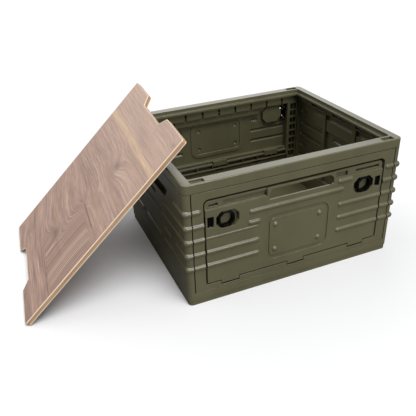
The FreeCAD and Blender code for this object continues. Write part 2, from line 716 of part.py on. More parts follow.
def hand_hold(tag, side):
    """Plastic and cuts of the band along the door's top, with the hand opening at the front."""
    top = DOORS[side]["top"]
    band = top + " - band_height"
    roof = top + " - skin_thickness"
    if side == "front":
        bar = DOOR_EDGE + " - skin_thickness"
        left, right = middle("hand_offset", "hand_width + 2 * hand_border")
        reach = DOOR_EDGE + " + " + PAST
        bands = [("-(%s)" % reach, left), (right, reach)]
        channels = [("channel_inset - (%s)" % DOOR_EDGE, left), (right, "channel_right")]
    else:
        bar = "back_band_width / 2 + skin_thickness"
        bands = [mirrored_span("back_band_width / 2")]
        channels = [mirrored_span("back_band_width / 2 - channel_height")]
    adds = [block(tag + "_bar", mirrored_span(bar), depths(("band_depth", "door_depth")),
                  (band + " - skin_thickness", roof))]
    cuts = []
    for i, x in enumerate(bands):
        cuts.append(block("%s_band%d" % (tag, i), x, depths(("-2 * bead_radius", "band_depth")),
                          (band, top + " + " + PAST)))
    floor = band + " + channel_rise"
    recess = depths(("band_depth - " + PAST, "band_depth + channel_depth"))
    for i, x in enumerate(channels):
        cuts.append(block("%s_channel%d" % (tag, i), x, recess, (floor, floor + " + channel_height")))
    if side == "front":
        foot = band + " + slot_rise"
        end = DOOR_EDGE + " - slot_inset"
        recess = depths(("band_depth - " + PAST, "band_depth + slot_depth"))
        for hand, s in HANDS.items():
            x = mirrored(("%s - %s_slot_length" % (end, hand), end), s)
            cuts.append(block("%s_%s_slot" % (tag, hand), x, recess, (foot, foot + " + slot_height")))
        outline = hand_outline(top + " - hand_drop")
        hole = sketched(tag + "_hand", "XZ_Plane", outline, "door_depth + 2 * bead_radius")
        cuts.append(put(hole, "0", behind("door_depth + bead_radius"), "0"))
    return adds, cuts


def hand_outline(low):
    """Corners of the hand opening, cut off more above than below."""
    left, right = middle("hand_offset", "hand_width")
    high = low + " + hand_height"
    small = "hand_chamfer / 3"
    return [
        (left + " + " + small, low), (right + " - " + small, low),
        (right, low + " + " + small), (right, high + " - hand_chamfer"),
        (right + " - hand_chamfer", high), (left + " + hand_chamfer", high),
        (left, high + " - hand_chamfer"), (left, low + " + " + small),
    ]


def latch_seat(tag, side, hand):
    """Plastic and cuts that hold one latch: dish, slot, window and screw bosses."""
    s = HANDS[hand]
    level = DOORS[side]["knob"]
    tag = "%s_%s" % (tag, hand)
    centres = mirrored((KNOB_X + " - latch_in", KNOB_X + " + latch_out"), s)
    room = "knob_size + 2 * latch_gap"
    skin_inside = behind("skin_thickness / 2")
    adds = [long_octagon(tag + "_boss", centres, skin_inside, level, room + " + 2 * dish_wall",
                         "dish_depth + dish_wall - skin_thickness / 2")]
    for i, bolt in enumerate(cover_screw_places(side, hand)):
        adds.append(rod("%s_post%d" % (tag, i), "y", skin_inside, behind(COVER_FACE), bolt,
                        "cover_boss_radius"))
    window = mirrored(middle(WINDOW_X, "window_width"), s)
    slot = mirrored((KNOB_X + " + knob_size / 2", DOOR_EDGE + " - skin_thickness - dish_wall"), s)
    mouth = mirrored((DOOR_EDGE + " - 2 * skin_thickness", DOOR_EDGE + " + " + PAST), s)
    bolt_room = depths(BOLT_ROOM)
    cuts = [
        long_octagon(tag + "_dish", centres, behind("-2 * bead_radius"), level, room,
                     "dish_depth + 2 * bead_radius"),
        block(tag + "_window", window, (behind("-" + PAST), behind("skin_thickness + latch_gap / 2")),
              middle(level, "window_height")),
        block(tag + "_slot", slot, bolt_room, middle(level, "bar_height + 2 * latch_gap")),
        block(tag + "_mouth", mouth, bolt_room, middle(level, "bolt_height + 2 * latch_gap")),
    ]
    for i, bolt in enumerate(cover_screw_places(side, hand)):
        cuts.append(rod("%s_pilot%d" % (tag, i), "y", behind(COVER_FACE + " - cover_screw_length"),
                        behind("door_depth"), bolt, SCREW_HOLE))
    return adds, cuts


def cover_screw_places(side, hand):
    """X and Z of the two screws that hold a latch cover."""
    reach = "bolt_height / 2 + latch_gap + cover_boss_radius + latch_gap"
    return [("%d * (%s)" % (HANDS[hand], WINDOW_X), "%s + %d * (%s)" % (DOORS[side]["knob"], i, reach))
            for i in (-1, 1)]


def door(side):
    tag = side + "_door"
    low, top = DOORS[side]["bottom"], DOORS[side]["top"]
    rim = DOOR_EDGE + " - skin_thickness"
    blank = block(tag + "_block", mirrored_span(DOOR_EDGE), (FRONT, behind("door_depth")), (low, top))
    solid = [rounded_top(tag + "_blank", blank, "door_corner_radius")]
    hollows = [block(tag + "_pan", mirrored_span(rim), depths(("skin_thickness", "door_depth + " + PAST)),
                     (low + " + skin_thickness", top + " - skin_thickness"))]
    # Beads and studs stand proud outside and are hollow inside
    for i, (s, inner, outer, level, rise) in enumerate(door_beads(side)):
        balls = sorted(set(mirrored((inner, outer or inner), s)))
        solid += bead("%s_bead%d" % (tag, i), *mirrored((inner, outer or DOOR_EDGE), s), level,
                      balls=balls, rise=rise)
        hollows += bead("%s_hollow%d" % (tag, i), *mirrored((inner, outer or rim), s), level,
                        hollow=True, balls=balls, rise=rise)
    bottom, height = DOORS[side]["plate"]
    for i in (-1, 1):
        for k in (-1, 1):
            place = ("%d * stud_span / 2" % i, behind("stud_radius - stud_height"),
                     "%s + %s / 2 + %d * %s / 2" % (bottom, height, k, DOORS[side]["studs"]))
            spot = "%d%d" % (i + 1, k + 1)
            solid.append(ball(tag + "_stud" + spot, *place, "stud_radius"))
            hollows.append(ball(tag + "_dimple" + spot, *place, "stud_radius - bead_shell"))
    # Studded plate: a groove outside, a ridge inside
    ridge = depths(("skin_thickness / 2", "skin_thickness + groove_depth"))
    adds = [cut(tag + "_shell", fuse(tag + "_solid", solid), hollows),
            plate_ring(tag + "_ridge", side, ridge)]
    cuts = [plate_ring(tag + "_groove", side, depths(("-" + PAST, "groove_depth")))]
    more = [hand_hold(tag, side)] + [latch_seat(tag, side, hand) for hand in HANDS]
    for extra_adds, extra_cuts in more:
        adds += extra_adds
        cuts += extra_cuts
    # Hinge tabs with round ends on the pins and hooks that fill the notches of the sill
    for i in TABS:
        tab = middle("%d * tab_spacing" % i, "tab_width")
        adds.append(block("%s_tab%d" % (tag, i + 1), tab, (FRONT, behind("2 * door_axis_inset")),
                          (door_axis(side), low + " + " + PAST)))
        adds.append(block("%s_hook%d" % (tag, i + 1), tab, depths(("door_axis_inset", "tab_depth")),
                          (door_axis(side) + " - door_axis_inset", low + " + skin_thickness")))
    adds += pin_rods(tag + "_knuckle", side, "door_axis_inset", "tab_width")
    cuts += pin_rods(tag + "_bore", side, PIN_BORE, "tab_width + 2 * tab_gap")
    node(turned_back(cut(tag, fuse(tag + "_body", adds), cuts), side), side + "_door_panel")


# Latches: a ring knob and a sliding bolt, with a cover that keeps the bolt in

def latch(side, hand):
    s = HANDS[hand]
    tag = "%s_%s_latch" % (side, hand)
    level = DOORS[side]["knob"]
    at = "%d * (%s)" % (s, KNOB_X)
    edge = KNOB_X + " + knob_size / 2"
    face = behind("-knob_proud")
    depth = "dish_depth + knob_proud - latch_gap"
    neck_end = KNOB_X + " + knob_hole / 2 + (knob_size - knob_hole) / 8"
    neck = mirrored((neck_end, edge + " + " + PAST), s)
    fit = "2 * rod_clearance"
    blank = octagon(tag + "_ring", at, face, level, "knob_size", depth)

    def front_edge(line):
        return abs(line.BoundBox.YMax - blank.Shape.BoundBox.YMin) < 1e-6

    doc.recompute()
    bevel = doc.addObject("Part::Chamfer", tag + "_bevel")
    bevel.Base = blank
    size = number("knob_bevel")
    bevel.Edges = [(i, size, size) for i, line in enumerate(blank.Shape.Edges, start=1) if front_edge(line)]
    socket = block(tag + "_socket", (neck[0] + " - " + fit, neck[1] + " + " + fit),
                   depths((BOLT_FACE + " - " + fit, BOLT_BACK + " + " + fit)),
                   middle(level, "neck_height + 2 * " + fit))
    hole = octagon(tag + "_hole", at, behind("-2 * knob_proud"), level, "knob_hole", "2 * dish_depth")
    knob = cut(tag + "_knob", bevel, [hole, socket])
    thick = depths((BOLT_FACE, BOLT_BACK))
    bar_end = edge + " + latch_out + dish_wall + latch_in + 2 * latch_gap"
    bolt = fuse(tag + "_bolt", [
        block(tag + "_neck", neck, thick, middle(level, "neck_height")),
        block(tag + "_bar", mirrored((edge + " + rod_clearance", bar_end), s), thick,
              middle(level, "bar_height")),
        block(tag + "_head", mirrored((bar_end, DOOR_EDGE + " + door_gap - latch_gap"), s), thick,
              middle(level, "bolt_height")),
    ])
    node(turned_back(knob, side), tag + "_knob")
    node(turned_back(bolt, side), tag + "_bolt")


def latch_cover(side, hand):
    """A frame behind the bolt, on the two posts of the door."""
    s = HANDS[hand]
    tag = "%s_%s_latch_cover" % (side, hand)
    level = DOORS[side]["knob"]
    seat = KNOB_X + " + latch_out + knob_size / 2 + latch_gap + dish_wall"
    x = (seat + " + latch_gap", DOOR_EDGE + " - skin_thickness - latch_gap")
    y = depths((COVER_FACE, COVER_FACE + " + cover_thickness"))
    through = depths((COVER_FACE + " - " + PAST, "door_depth"))
    reach = "bolt_height + 4 * latch_gap + 4 * cover_boss_radius"
    frame = block(tag + "_plate", mirrored(x, s), y, middle(level, reach))
    light = block(tag + "_light", mirrored((x[0] + " + cover_thickness", x[1] + " - cover_thickness"), s),
                  through, middle(level, "bolt_height + latch_gap"))
    holes = [rod("%s_hole%d" % (tag, i), "y", *through, place, SCREW_HOLE)
             for i, place in enumerate(cover_screw_places(side, hand))]
    node(turned_back(cut(tag, frame, [light] + holes), side), tag)


def cover_screws(side):
    seat = COVER_FACE + " + cover_thickness"
    screws = []
    for hand in HANDS:
        for i, place in enumerate(cover_screw_places(side, hand)):
            tag = "%s_%s_cover_screw%d" % (side, hand, i)
            thread = rod(tag + "_thread", "y", behind(seat + " - cover_screw_length"), behind(seat), place,
                         "cover_screw_diameter / 2")
            head = rod(tag + "_head", "y", behind(seat), behind(seat + " + screw_head_height"), place,
                       "cover_screw_head / 2")
            screws.append(fuse(tag, [thread, head]))
    node(turned_back(group(side + "_cover_screws", screws), side), side + "_latch_cover_screws")


# Rim with its end hinges

TONGUE_FACE = "box_length / 2 - skirt_thickness - seam_gap"
END_AXIS = ("(%s + %s) / 2" % (END_INSIDE, TONGUE_FACE), "box_height - end_axis_drop")
LUG_BOTTOM = END_AXIS[1] + " - lug_radius"
LUGS = (-3, -1, 1, 3)
SPANS = (-1, 0, 1)
LUG_REACH = "1.5 * lug_spacing + lug_width"


def lug_spans(margin):
    return [middle("%d * lug_spacing / 2" % i, "lug_width + 2 * (%s)" % margin) for i in LUGS]


def end_rod(name, s, radius):
    across = ("%d * (%s)" % (s, END_AXIS[0]), END_AXIS[1])
    return rod(name, "y", *mirrored_span(LUG_REACH), across, radius)


def top_frame():
    outer = block("rim_block", mirrored_span("box_length / 2"), mirrored_span("box_depth / 2"),
                  (RIM_BOTTOM, "box_height"))
    outer = upright_corners("rim_outer", outer, "corner_radius")
    height = number("box_height")
    outer = rounded("rim_rounded", outer, "rim_edge_radius", lambda edge: edge.BoundBox.ZMin > height - 1e-6)
    above = "box_height + " + PAST
    seat = upright_corners("rim_seat", block(
        "rim_seat_block", mirrored_span("box_length / 2 - end_rail_width"),
        mirrored_span("box_depth / 2 - long_rail_width"), ("box_height - flange_thickness", above)),
        "rim_inner_radius")
    light = upright_corners("rim_light", block(
        "rim_light_block", mirrored_span("box_length / 2 - end_rail_width - ledge_width"),
        mirrored_span("box_depth / 2 - long_rail_width - ledge_width"), (RIM_BOTTOM + " - " + PAST, above)),
        "rim_inner_radius")
    under = upright_corners("rim_under", block(
        "rim_under_block", mirrored_span("box_length / 2 - skirt_thickness"),
        mirrored_span("box_depth / 2 - skirt_thickness"), (RIM_BOTTOM + " - " + PAST, LEDGE_BOTTOM)),
        "corner_radius - skirt_thickness")
    cuts = [seat, light, under]
    along = ("box_length / 2 - pocket_inset - pocket_length", "box_length / 2 - pocket_inset")
    across = middle("box_depth / 2 - long_rail_width / 2", "pocket_width")
    for i in (-1, 1):
        for k in (-1, 1):
            cuts.append(block("rim_pocket%d%d" % (i + 1, k + 1), mirrored(along, i), mirrored(across, k),
                              ("box_height - pocket_depth", above)))
    adds = [cut("rim_shell", outer, cuts)]
    bores = []
    lug_z = (LUG_BOTTOM, LEDGE_BOTTOM + " + ledge_thickness / 2")
    for hand, s in HANDS.items():
        x = mirrored((END_INSIDE + " + lug_gap", TONGUE_FACE + " - lug_gap"), s)
        for i, y in enumerate(lug_spans("0")):
            adds.append(block("rim_lug_%s%d" % (hand, i), x, y, lug_z))
        bores.append(end_rod("rim_bore_" + hand, s, ROD_BORE))
        node(end_rod("end_rod_" + hand, s, "rod_diameter / 2"), hand + "_end_hinge_rod")
    node(cut("rim", fuse("rim_body", adds), bores), "top_frame")


# End panels: the right one is made, the left one is its mirror image

def end_bead(name, limits, s, level, hollow=False, corner=False):
    """A bead along Y on the end face; one that runs to a corner turns onto the long side's edge there."""
    radius = "bead_radius - bead_shell" if hollow else "bead_radius"
    x = "box_length / 2 - (%s)" % BEAD_DEPTH
    start, end = mirrored(limits, s)
    items = [rod(name, "y", start, end, (x, level), radius)]
    for i, at in enumerate((start, end)):
        items.append(ball("%s_end%d" % (name, i), x, at, level, radius))
    if corner:
        items.append(rod(name + "_edge", "x", END_INSIDE, x, (end if s > 0 else start, level), radius))
    return items


HALF_DEPTH = "box_depth / 2"
BEAD_CORNER = HALF_DEPTH + " - (%s)" % BEAD_DEPTH
CAVITY_SIDE = HALF_DEPTH + " - wall_thickness"
STUB = HALF_DEPTH + " - end_stub_length"
SHORT = ("end_short_inner", "end_short_outer")
# Rows of end beads from the top: half of the middle one, limits of a short one, start of the side one
END_ROWS = [
    (None, None, STUB),
    ("end_middle_short", None, "end_bead_inner"),
    ("end_middle_long", None, "end_bead_inner"),
    (None, SHORT, STUB),
    ("end_middle_long", None, "end_bead_inner"),
]


def end_beads(tag):
    """All beads of an end panel, and their hollows inside the panel."""
    adds, cuts = [], []
    for i in range(BEAD_ROWS):
        centre, short, side = END_ROWS[i % len(END_ROWS)]
        level = bead_row(i)
        name = "%s_bead%d" % (tag, i)
        spans = [(s, (side, BEAD_CORNER), (side, CAVITY_SIDE + " - bead_radius")) for s in (-1, 1)]
        if short:
            spans += [(s, short, short) for s in (-1, 1)]
        if centre:
            spans.append((1, mirrored_span(centre), mirrored_span(centre)))
        for k, (s, limits, inside) in enumerate(spans):
            adds += end_bead("%s_%d" % (name, k), limits, s, level, corner=limits[1] == BEAD_CORNER)
            cuts += end_bead("%s_hollow%d" % (name, k), inside, s, level, hollow=True)
    return adds, cuts


def end_grip(name, margin, x):
    """A block with the grip's outline, wider at its top, between two planes."""
    top = RIM_BOTTOM + " - grip_drop + " + margin
    low = RIM_BOTTOM + " - grip_drop - grip_height - " + margin
    top_half = "grip_width / 2 + " + margin
    low_half = "grip_width / 2 - grip_slope + " + margin
    corners = [("-(%s)" % low_half, low), (low_half, low), (top_half, top), ("-(%s)" % top_half, top)]
    return put(sketched(name, "YZ_Plane", corners, "(%s) - (%s)" % (x[1], x[0])), x[0], "0", "0")


def end_panels():
    tag = "end"
    face = "box_length / 2"
    outer = block(tag + "_block", (END_INSIDE, face), mirrored_span(HALF_DEPTH),
                  (END_LIP + " + seam_gap", RIM_BOTTOM + " - rim_gap"))
    inner_plane = number(END_INSIDE)
    outer = rounded(tag + "_outer", outer, "corner_radius",
                    lambda edge: runs_along(edge, "z") and edge.BoundBox.XMin > inner_plane)
    notch_bottom = LUG_BOTTOM + " - lug_gap"
    inner = (END_LIP + " + seam_gap + end_skin", notch_bottom + " - rod_lip")
    cavity = block(tag + "_cavity", (END_INSIDE + " - " + PAST, face + " - end_skin"),
                   mirrored_span(CAVITY_SIDE), inner)
    within = face + " - end_skin / 2"
    beads, hollows = end_beads(tag)
    adds = [
        cut(tag + "_shell", fuse(tag + "_solid", [outer] + beads), [cavity] + hollows),
        block(tag + "_tongue", (END_INSIDE, TONGUE_FACE), mirrored_span(HALF_DEPTH + " - corner_radius"),
              (RIM_BOTTOM + " - end_skin", HEAD_TOP)),
        end_grip(tag + "_grip_boss", "grip_shell", (face + " - grip_depth - grip_shell", within)),
    ]
    for s in (-1, 1):
        adds.append(block("%s_upright%d" % (tag, s + 1), (END_INSIDE + " + upright_setback", within),
                          middle("%d * upright_spacing / 2" % s, "upright_width"),
                          (inner[0] + " - " + PAST, inner[1] + " + " + PAST)))
    cuts = [end_grip(tag + "_grip", "0", (face + " - grip_depth", face + " + bead_radius"))]
    # The rod shows between the knuckles
    shown = "lug_spacing - lug_width - 2 * (lug_gap + rod_knuckle)"
    for i in SPANS:
        cuts.append(block("%s_rod_slot%d" % (tag, i),
                          (END_INSIDE + " - " + PAST, "%s + %s" % (END_AXIS[0], ROD_BORE)),
                          middle("%d * lug_spacing" % i, shown),
                          (LUG_BOTTOM, HEAD_TOP + " - rod_slot_flange")))
    # Slots for the base's tongues, notches for the rim's lugs, bore for the rod
    slot = middle(END_INSIDE + " + end_panel_thickness / 2", "locator_thickness + 2 * locator_gap")
    for s in (-1, 1):
        cuts.append(block("%s_locator%d" % (tag, s + 1), slot,
                          middle("%d * locator_offset" % s, "locator_length + 2 * locator_gap"),
                          (END_LIP, END_LIP + " + locator_height + locator_gap")))
    for i, y in enumerate(lug_spans("lug_gap")):
        cuts.append(block("%s_notch%d" % (tag, i), (END_INSIDE + " - " + PAST, TONGUE_FACE), y,
                          (notch_bottom, HEAD_TOP + " + " + PAST)))
    cuts.append(end_rod(tag + "_bore", 1, ROD_BORE))
    right = node(cut(tag, fuse(tag + "_body", adds), cuts), "right_end_panel")
    left = doc.addObject("Part::Mirroring", tag + "_mirrored")
    left.Source = right
    left.Normal = FreeCAD.Vector(1, 0, 0)
    node(left, "left_end_panel")


# Lid, made flat with its middle at the origin and its underside at zero

LID_END = "box_length / 2 - lid_end_inset"
LID_SIDE = "box_depth / 2 - lid_side_inset"


def lid_outline(inset):
    """Corners of the lid: a rectangle with a sloped notch in each end, drawn in by the inset."""
    end = "%s - %s" % (LID_END, inset)
    side = "%s - %s" % (LID_SIDE, inset)
    slope = "(notch_opening - notch_inner) / 2 / notch_depth"
    shift = "%s * (sqrt(1 + (%s) * (%s)) - (%s))" % (inset, slope, slope, slope)
    mouth = "notch_opening / 2 + " + shift
    back = "notch_inner / 2 + " + shift
    deep = end + " - notch_depth"
    upper = [(deep, back), (end, mouth), (end, side)]
    right = [(u, "-(%s)" % v) for u, v in reversed(upper)] + upper
    left = [("-(%s)" % u, v) for u, v in reversed(right)]
    return right + left


def lid_layer(name, inset, z):
    """One layer of the lid with its four outer corners rounded."""
    pad = sketched(name + "_pad", "XY_Plane", lid_outline(inset), "(%s) - (%s)" % (z[1], z[0]))
    put(pad, "0", "0", z[0])
    side = number("%s - %s" % (LID_SIDE, inset))

    def outer_corner(edge):
        return runs_along(edge, "z") and abs(abs(edge.BoundBox.Center.y) - side) < 1e-6

    return rounded(name + "_rounded", pad, "lid_corner_radius - " + inset, outer_corner)


def block_places():
    """Middles of the locating blocks, just inside the rim."""
    x = "box_length / 2 - end_rail_width - block_gap - block_size / 2"
    y = "box_depth / 2 - long_rail_width - block_gap - block_size / 2"
    return [("%d * (%s)" % (i, x), "%d * (%s)" % (k, y)) for i in (-1, 1) for k in (-1, 1)]


def lean_placement():
    """The lid's lower edge stands on the ground and its underside rests on the rim's left edge.

    The rim's rounded corner is met where its outward direction is the lid's own normal.
    """
    slope = math.radians(number("lean_angle"))
    turn = math.radians(number("lean_turn"))
    edge = number("rim_edge_radius")
    radius = number("corner_radius") - edge
    flat = FreeCAD.Vector(-math.cos(turn), -math.sin(turn), 0)
    up = flat * math.sin(slope) + FreeCAD.Vector(0, 0, math.cos(slope))
    corner = FreeCAD.Vector(-number("box_length / 2 - corner_radius"),
                            math.copysign(number("box_depth / 2 - corner_radius"), flat.y),
                            number("box_height - rim_edge_radius"))
    touch = corner + flat * radius
    reach = touch.dot(up) + edge + number("lean_gap")
    foot = FreeCAD.Vector(0, number("lean_side"), 0)
    foot.x = (reach - foot.y * up.y) / up.x
    turned = FreeCAD.Rotation(FreeCAD.Vector(0, 0, 1), number("lean_turn"))
    tilted = FreeCAD.Rotation(FreeCAD.Vector(0, 1, 0), -number("lean_angle"))
    to_middle = FreeCAD.Placement(FreeCAD.Vector(number(LID_END), 0, 0), FreeCAD.Rotation())
    return FreeCAD.Placement(foot, turned * tilted) * to_middle


def lid():
    core_z = ("laminate_thickness", "lid_thickness - laminate_thickness")
    full = ("0", "lid_thickness")
    under = "-block_height"
    seat = under + " + screw_head_height"
    tip = under + " + block_screw_length"
    hole = "block_screw_diameter / 2 + rod_clearance"
    holes = {"core": [], "veneer": [], "blocks": []}
    screws = []
    blocks = []
    for i, (x, y) in enumerate(block_places()):
        sides = (middle(x, "block_size"), middle(y, "block_size"))
        blocks.append(block("lid_block%d" % i, *sides, (under, full[0])))
        for kind in holes:
            holes[kind].append(rod("lid_%s_hole%d" % (kind, i), "z", under + " - " + PAST, tip, (x, y), hole))
        holes["blocks"].append(rod("lid_head_seat%d" % i, "z", under + " - " + PAST, seat, (x, y),
                                   "block_screw_head / 2 + rod_clearance"))
        thread = rod("lid_screw_thread%d" % i, "z", seat, tip, (x, y), "block_screw_diameter / 2")
        head = rod("lid_screw_head%d" % i, "z", under, seat, (x, y), "block_screw_head / 2")
        screws.append(fuse("lid_screw%d" % i, [thread, head]))
    core = cut("lid_core_cut", lid_layer("lid_core", "edge_band", core_z), holes["core"])
    inside = lid_layer("lid_band_inner", "edge_band", full)
    band = cut("lid_band", lid_layer("lid_band_outer", "0", full), [inside])
    top = lid_layer("lid_top", "edge_band", (core_z[1], full[1]))
    bottom = lid_layer("lid_bottom_blank", "edge_band", (full[0], core_z[0]))
    bottom = cut("lid_bottom", bottom, holes["veneer"])
    pieces = {
        "lid_core": core,
        "lid_edge_band": band,
        "lid_top_laminate": top,
        "lid_bottom_laminate": bottom,
        "lid_locating_blocks": cut("lid_blocks", group("lid_block_set", blocks), holes["blocks"]),
        "lid_block_screws": group("lid_screws", screws),
    }
    placement = lean_placement()
    for label, item in pieces.items():
        item.Placement = placement
        node(item, label)


base_tray()
for side in SIDES:
    wall(side)
    door(side)
    for hand in HANDS:
        latch(side, hand)
        latch_cover(side, hand)
    cover_screws(side)
top_frame()
end_panels()
lid()

# Nothing is written unless every object and every piece came out sound
doc.recompute()
for item in doc.Objects:
    if "Invalid" in item.State or "Error" in item.State:
        raise RuntimeError("%s failed: %s" % (item.Label, item.State))
for item in nodes:
    if item.Shape.isNull() or not item.Shape.isValid() or not item.Shape.Solids:
        raise RuntimeError("%s has no sound shape" % item.Label)

os.makedirs("parts", exist_ok=True)
for item in nodes:
    item.Shape.exportStep("parts/%s.step" % item.Label)
    print("%-28s %d solids %9.1f cm3" % (item.Label, len(item.Shape.Solids), item.Shape.Volume / 1000))
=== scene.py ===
"""Looks of the folding storage box table: moulded olive plastic, black latches, steel pins, a walnut lid."""

import json
import math

import bpy
from mathutils import Matrix, Vector


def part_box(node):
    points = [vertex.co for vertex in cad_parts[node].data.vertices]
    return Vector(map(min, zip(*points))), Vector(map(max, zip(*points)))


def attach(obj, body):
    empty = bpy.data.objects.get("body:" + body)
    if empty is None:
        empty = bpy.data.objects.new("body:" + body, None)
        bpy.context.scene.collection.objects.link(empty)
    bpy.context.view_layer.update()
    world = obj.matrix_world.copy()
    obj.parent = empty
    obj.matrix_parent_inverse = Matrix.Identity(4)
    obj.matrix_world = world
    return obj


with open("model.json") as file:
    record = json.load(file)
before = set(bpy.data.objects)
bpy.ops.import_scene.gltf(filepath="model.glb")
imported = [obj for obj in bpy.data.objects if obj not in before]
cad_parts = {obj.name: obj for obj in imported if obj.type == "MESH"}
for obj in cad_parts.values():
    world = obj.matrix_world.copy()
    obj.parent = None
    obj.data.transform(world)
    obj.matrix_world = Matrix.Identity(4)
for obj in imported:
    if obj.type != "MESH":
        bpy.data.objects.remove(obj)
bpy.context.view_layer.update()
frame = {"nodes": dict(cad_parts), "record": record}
nodes = frame["nodes"]


def srgb(red, green, blue):
    """Linear colour of an eight-bit screen colour."""
    def linear(level):
        return ((level / 255 + 0.055) / 1.055) ** 2.4 if level > 10 else level / 3295

    return linear(red), linear(green), linear(blue), 1.0


def grey(level):
    """Linear colour of an even grey."""
    return level, level, level, 1.0


class Tree:
    """One node tree. Each call adds a node, links or sets its inputs and gives back one output."""

    def __init__(self, tree):
        self.tree = tree

    def join(self, value, socket):
        """Link a socket to another, or set it to a constant."""
        if isinstance(value, bpy.types.NodeSocket):
            self.tree.links.new(value, socket)
        else:
            socket.default_value = value

    def add(self, kind, inputs=None, output=0, **settings):
        node = self.tree.nodes.new("ShaderNode" + kind)
        for name, value in settings.items():
            setattr(node, name, value)
        for key, value in (inputs or {}).items():
            self.join(value, node.inputs[key])
        return node.outputs[output]

    def math(self, operation, *values, clamp=False):
        return self.add("Math", dict(enumerate(values)), operation=operation, use_clamp=clamp)

    def plus(self, first, second):
        return self.math("ADD", first, second)

    def minus(self, first, second):
        return self.math("SUBTRACT", first, second)

    def times(self, first, second):
        return self.math("MULTIPLY", first, second)

    def most(self, first, second):
        return self.math("MAXIMUM", first, second)

    def vector(self, operation, *values, output="Vector"):
        return self.add("VectorMath", dict(enumerate(values)), output, operation=operation)

    def length(self, value):
        return self.vector("LENGTH", value, output="Value")

    def stretch(self, place, x, y, z):
        return self.vector("MULTIPLY", place, (x, y, z))

    def noise(self, place, scale=1.0, detail=2.0, rough=0.5):
        inputs = {"Vector": place, "Scale": scale, "Detail": detail, "Roughness": rough}
        return self.add("TexNoise", inputs, "Fac")

    def drawn(self, place, scales, detail=2.0, rough=0.5):
        """Noise with a scale of its own on each axis."""
        return self.noise(self.stretch(place, *scales), 1.0, detail, rough)

    def span(self, value, low, high, to_low=0.0, to_high=1.0):
        """Smooth step of a value from one span to another."""
        inputs = {0: value, 1: low, 2: high, 3: to_low, 4: to_high}
        return self.add("MapRange", inputs, interpolation_type="SMOOTHSTEP")

    def bell(self, value, middle, width):
        """exp(-((value - middle) / width)^2)"""
        off = self.math("DIVIDE", self.minus(value, middle), width)
        return self.math("EXPONENT", self.times(self.times(off, off), -1.0))

    def mix(self, share, first, second):
        return self.add("Mix", {0: share, 6: first, 7: second}, 2, data_type="RGBA")

    def tint(self, colour, cover, share, tone):
        """Lay a share of a tone over a colour, where the cover is."""
        return self.mix(self.times(cover, share), colour, tone)

    def bump(self, strength, depth, height, **normal):
        return self.add("Bump", {"Strength": strength, "Distance": depth, "Height": height, **normal})

    def use(self, made, **inputs):
        """One use of a group: its outputs by name."""
        node = self.tree.nodes.new("ShaderNodeGroup")
        node.node_tree = made
        for socket, value in inputs.items():
            self.join(value, node.inputs[socket])
        return node.outputs


def group(name, inputs, outputs, fill):
    """A node group with named sockets; fill takes its tree and input sockets and gives back its outputs."""
    made = bpy.data.node_groups.new(name, "ShaderNodeTree")
    for socket, kind in inputs:
        made.interface.new_socket(socket, in_out="INPUT", socket_type="NodeSocket" + kind)
    for socket, kind in outputs:
        made.interface.new_socket(socket, in_out="OUTPUT", socket_type="NodeSocket" + kind)
    source = made.nodes.new("NodeGroupInput")
    sink = made.nodes.new("NodeGroupOutput")
    for socket, value in fill(Tree(made), source.outputs).items():
        made.links.new(value, sink.inputs[socket])
    return made


# Effects that several materials share. A noise is given by its scale per metre, or one for each axis, then
# detail and roughness. A pair of numbers is where an effect begins and is full.

BEVEL_SAMPLES = 6
# Edge wear and painted highlight, by one less the cosine of the edge's turn
WORN_LIT_TURN = (0.02, 0.25)
HANDLING = (55.0, 4.0, 0.65)
HANDLED = (0.35, 0.7)
LEAST_WEAR_AND_HIGHLIGHT = 0.45

FINE_PITS = 2.3
FINE_PITS_ROUGH = 0.6
FINE_SHARE = 0.4
FLOW = ((14.0, 14.0, 6.3), 3.0, 0.55)
DUST = (120.0, 5.0, 0.7)
DUSTY = (0.52, 0.78)

# Painted shade in the seams, from ambient occlusion
SHADE_SAMPLES = 8
# Shares of open sky at which a seam's painted shade is full, and is gone
SHADED_SKY = (0.22, 0.64)
FULL_SHADE = 0.92


def fill_eased_edges(t, given):
    """Edges eased by the tool radius: the bent normal, and a mask of edge wear and painted highlight, patchy
    where handling wears them.
    """
    bent = t.add("Bevel", {"Radius": given["Radius"]}, samples=BEVEL_SAMPLES)
    flat = t.add("NewGeometry", output="Normal")
    turn = t.math("SUBTRACT", 1.0, t.vector("DOT_PRODUCT", bent, flat, output="Value"), clamp=True)
    patches = t.span(t.noise(given["Place"], *HANDLING), *HANDLED)
    handled = t.plus(LEAST_WEAR_AND_HIGHLIGHT, t.times(patches, 1.0 - LEAST_WEAR_AND_HIGHLIGHT))
    return {"Normal": bent, "WearAndHighlight": t.times(t.span(turn, *WORN_LIT_TURN), handled)}


def fill_spark_texture(t, given):
    """Spark-eroded mould grain: two sizes of fine pits for the height, flow marks for the tone, and dust."""
    fine = t.noise(given["Place"], t.times(given["Pits"], FINE_PITS), rough=FINE_PITS_ROUGH)
    pits = t.noise(given["Place"], given["Pits"])
    height = t.plus(t.times(fine, FINE_SHARE), t.times(pits, 1.0 - FINE_SHARE))
    dust = t.span(t.noise(given["Place"], *DUST), *DUSTY)
    return {"Height": height, "Tone": t.drawn(given["Place"], *FLOW), "Dust": dust}


def fill_seam_shade(t, given):
    """Painted shade deep in the seams between mouldings, darkest where ambient occlusion finds least open
    sky.
    """
    open_sky = t.add("AmbientOcclusion", {"Distance": given["Reach"]}, "AO", samples=SHADE_SAMPLES)
    return {"PaintedShade": t.span(open_sky, *SHADED_SKY, FULL_SHADE, 0.0)}


EASED_EDGES = group("eased_edges", [("Place", "Vector"), ("Radius", "Float")],
                    [("Normal", "Vector"), ("WearAndHighlight", "Float")], fill_eased_edges)
SEAM_SHADE = group("seam_shade", [("Reach", "Float")], [("PaintedShade", "Float")], fill_seam_shade)
SPARK_TEXTURE = group("spark_texture", [("Place", "Vector"), ("Pits", "Float")],
                      [("Height", "Float"), ("Tone", "Float"), ("Dust", "Float")], fill_spark_texture)
